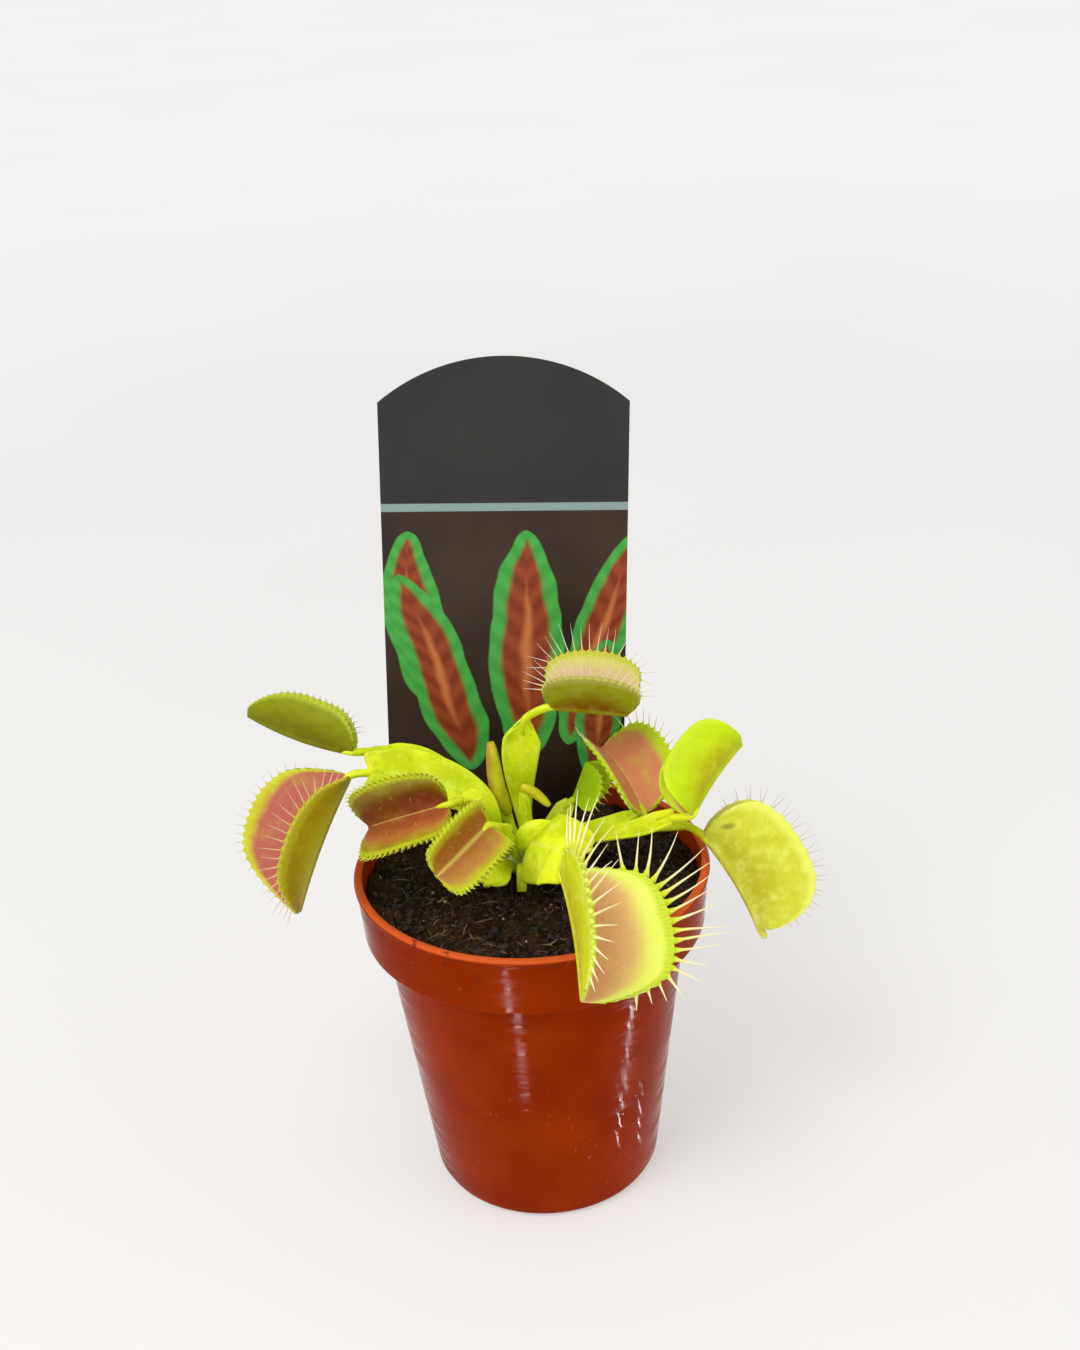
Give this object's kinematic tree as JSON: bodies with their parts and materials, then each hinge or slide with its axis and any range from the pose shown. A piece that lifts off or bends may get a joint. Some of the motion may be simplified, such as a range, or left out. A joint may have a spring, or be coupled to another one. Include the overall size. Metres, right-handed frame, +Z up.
{
  "type": "potted venus flytrap",
  "caption": "Carnivorous plant with toothed folding traps on flat stalks, growing in a small collared nursery pot with a blank plant label.",
  "frame": {"origin": "middle of the pot's flat base, on the surface that the pot stands on", "axes": "+Z up along the pot's axis, -Y towards the front of the plant, with the label behind it at +Y, and +X to the viewer's right"},
  "size_m": [0.1351, 0.1058, 0.1865],
  "materials": {
    "pot_plastic": "glossy thin moulded terracotta-coloured plastic",
    "peat": "matte damp dark peat with fibres",
    "crown_flesh": "pale satin plant flesh",
    "label_card": "satin printed plastic sheet",
    "leaf_green": "satin living leaf, yellow-green with pink to brown-red inside the traps"
  },
  "bodies": {
    "root": {"pot": "pot_plastic", "soil": "peat", "crown": "crown_flesh", "label": "label_card", "leaf_left_upper": "leaf_green", "leaf_left_outer": "leaf_green", "leaf_left_gaping": "leaf_green", "leaf_front_left": "leaf_green", "leaf_front_right": "leaf_green", "leaf_top": "leaf_green", "leaf_right_inner": "leaf_green", "leaf_right_raised": "leaf_green", "leaf_right_outer": "leaf_green", "leaf_young_right": "leaf_green", "leaf_young_upright": "leaf_green", "leaf_bud": "leaf_green", "leaf_lower": "leaf_green", "leaf_stub": "leaf_green"}
  },
  "joints": []
}
